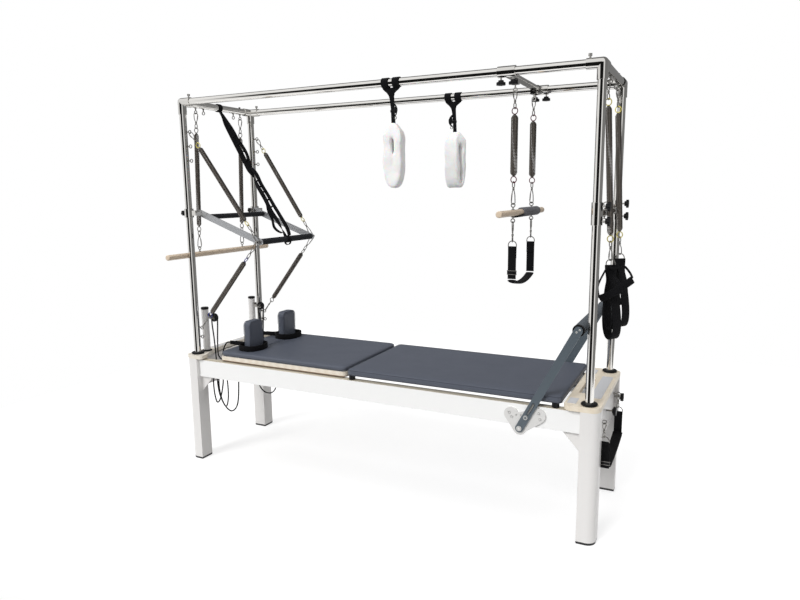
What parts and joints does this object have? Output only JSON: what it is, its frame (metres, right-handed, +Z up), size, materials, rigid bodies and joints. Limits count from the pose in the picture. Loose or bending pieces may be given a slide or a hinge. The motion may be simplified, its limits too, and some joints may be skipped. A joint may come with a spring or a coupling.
{
  "type": "pilates trapeze table",
  "caption": "Free-standing exercise bed with a rolling padded carriage under a tall tube canopy that carries springs, bars, slings and cuffs.",
  "frame": {"origin": "on the floor under the middle of the bed", "axes": "+Z up, +X along the bed from the shoulder rests to the foot bar, +Y to the rear side in the picture"},
  "size_m": [2.4364, 0.906, 2.151],
  "materials": {
    "white_paint": "gloss powder coat",
    "platform_board": "satin lacquer",
    "deck_board": "satin lacquer",
    "beech": "satin lacquer",
    "chrome_tube": "polished",
    "spring_steel": "satin",
    "track_aluminium": "satin",
    "grey_paint": "satin",
    "upholstery": "satin vinyl",
    "grip_grey": "matt",
    "grip_foam": "matt",
    "black_plastic": "satin",
    "webbing": "woven",
    "fleece": "fleece",
    "rope": "braided"
  },
  "bodies": {
    "frame": {"side_rail_front": "white_paint", "side_rail_rear": "white_paint", "leg_front_left": "white_paint", "leg_rear_left": "white_paint", "leg_front_right": "white_paint", "leg_rear_right": "white_paint", "leg_feet": "black_plastic", "end_rails": "white_paint", "platform_left": "platform_board", "platform_right": "platform_board", "grip_pads": "grip_grey", "carriage_tracks": "track_aluminium", "upright_front_left": "chrome_tube", "upright_rear_left": "chrome_tube", "upright_front_right": "chrome_tube", "upright_rear_right": "chrome_tube", "flange_collars": "black_plastic", "top_rail_front": "chrome_tube", "top_rail_rear": "chrome_tube", "crossbars": "chrome_tube", "corner_fittings": "chrome_tube", "frame_eyebolts": "chrome_tube", "spring_bar": "track_aluminium", "foot_bar_brackets": "white_paint", "push_bar_clamps": "black_plastic", "push_bar_springs": "spring_steel", "safety_strap": "webbing", "rope_risers": "white_paint", "ropes": "rope", "rope_loops": "rope"},
    "carriage": {"carriage_deck": "deck_board", "carriage_pad": "upholstery", "shoulder_rest_front": "upholstery", "shoulder_rest_rear": "upholstery", "shoulder_straps": "webbing", "carriage_springs": "spring_steel"},
    "headrest": {"headrest": "upholstery"},
    "wheels_left": {"wheel_set_left": "black_plastic"},
    "wheels_right": {"wheel_set_right": "black_plastic"},
    "mat": {"mat_insert": "upholstery", "mat_insert_feet": "black_plastic"},
    "foot_bar": {"foot_bar_arms": "grey_paint", "foot_bar_roller": "grip_foam"},
    "push_bar": {"push_bar_arms": "track_aluminium", "push_bar_grip": "grip_foam", "push_bar_tie": "grip_foam"},
    "roll_down": {"roll_down_springs": "spring_steel", "roll_down_bar": "beech"},
    "trapeze_slider": {"trapeze_crossbar": "chrome_tube"},
    "trapeze": {"trapeze_springs": "spring_steel", "trapeze_bar": "beech"},
    "sling": {"trapeze_sling": "webbing"},
    "cuff_front": {"cuff_front": "fleece"},
    "cuff_rear": {"cuff_rear": "fleece"},
    "cross_slider": {"cross_slide": "chrome_tube"},
    "arm_spring_front": {"arm_spring_front": "webbing"},
    "arm_spring_rear": {"arm_spring_rear": "webbing"},
    "end_sling": {"end_sling": "webbing"},
    "pulley_front": {"pulley_front": "black_plastic"},
    "pulley_rear": {"pulley_rear": "black_plastic"}
  },
  "joints": [
    {"name": "carriage_roll", "type": "slide", "parent": "frame", "child": "carriage", "axis": [1, 0, 0], "range_m": [-0.06, 0.008], "deforming": ["ropes", "rope_loops"]},
    {"name": "headrest_tilt", "type": "hinge", "parent": "carriage", "child": "headrest", "pos_m": [-0.802, 0, 0.683], "axis": [0, 1, 0], "range_deg": [0, 35]},
    {"name": "wheels_left_roll", "type": "hinge", "parent": "carriage", "child": "wheels_left", "pos_m": [-0.865, 0, 0.60005], "axis": [0, 1, 0], "range_deg": [-150, 25]},
    {"name": "wheels_right_roll", "type": "hinge", "parent": "carriage", "child": "wheels_right", "pos_m": [-0.222, 0, 0.60005], "axis": [0, 1, 0], "range_deg": [-150, 25]},
    {"name": "mat_insert_lift", "type": "slide", "parent": "frame", "child": "mat", "axis": [0, 0, 1], "range_m": [0, 0.04]},
    {"name": "foot_bar_fold", "type": "hinge", "parent": "frame", "child": "foot_bar", "pos_m": [0.845, 0, 0.508], "axis": [0, 1, 0], "range_deg": [-90, 0]},
    {"name": "push_through", "type": "hinge", "parent": "frame", "child": "push_bar", "pos_m": [-1.108, 0, 1.489], "axis": [0, 1, 0], "range_deg": [-80, 0], "deforming": ["push_bar_springs", "safety_strap"]},
    {"name": "roll_down_swing", "type": "hinge", "parent": "frame", "child": "roll_down", "pos_m": [-1.15, 0, 2.066], "axis": [0, 1, 0], "range_deg": [0, 60]},
    {"name": "trapeze_slide", "type": "slide", "parent": "frame", "child": "trapeze_slider", "axis": [1, 0, 0], "range_m": [-0.27, 0.12]},
    {"name": "trapeze_swing", "type": "hinge", "parent": "trapeze_slider", "child": "trapeze", "pos_m": [0.745, 0, 2.051], "axis": [0, 1, 0], "range_deg": [-12, 12]},
    {"name": "sling_swing", "type": "hinge", "parent": "trapeze", "child": "sling", "pos_m": [0.745, 0, 1.458], "axis": [0, 1, 0], "range_deg": [-8, 8]},
    {"name": "cuff_front_swing", "type": "hinge", "parent": "frame", "child": "cuff_front", "pos_m": [0.182, -0.2975, 2.11], "axis": [1, 0, 0], "range_deg": [-25, 25]},
    {"name": "cuff_rear_swing", "type": "hinge", "parent": "frame", "child": "cuff_rear", "pos_m": [0.264, 0.2975, 2.11], "axis": [1, 0, 0], "range_deg": [-25, 25]},
    {"name": "cross_slide_height", "type": "slide", "parent": "frame", "child": "cross_slider", "axis": [0, 0, 1], "range_m": [-0.4, 0]},
    {"name": "arm_spring_front_swing", "type": "hinge", "parent": "frame", "child": "arm_spring_front", "pos_m": [1.15, -0.149, 2.066], "axis": [0, 1, 0], "range_deg": [-60, 0]},
    {"name": "arm_spring_rear_swing", "type": "hinge", "parent": "frame", "child": "arm_spring_rear", "pos_m": [1.15, 0.149, 2.066], "axis": [0, 1, 0], "range_deg": [-60, 0]},
    {"name": "end_sling_swing", "type": "hinge", "parent": "frame", "child": "end_sling", "pos_m": [1.209, 0, 0.556], "axis": [0, 1, 0], "range_deg": [-50, 0]},
    {"name": "pulley_front_spin", "type": "hinge", "parent": "frame", "child": "pulley_front", "pos_m": [-1.077, -0.2195, 0.862], "axis": [0, 1, 0], "continuous": true},
    {"name": "pulley_rear_spin", "type": "hinge", "parent": "frame", "child": "pulley_rear", "pos_m": [-1.077, 0.2195, 0.862], "axis": [0, 1, 0], "continuous": true}
  ],
  "couplings": [
    {"joint": "wheels_left_roll", "follows": "carriage_roll", "rad_per_m": 41.667},
    {"joint": "wheels_right_roll", "follows": "carriage_roll", "rad_per_m": 41.667}
  ]
}
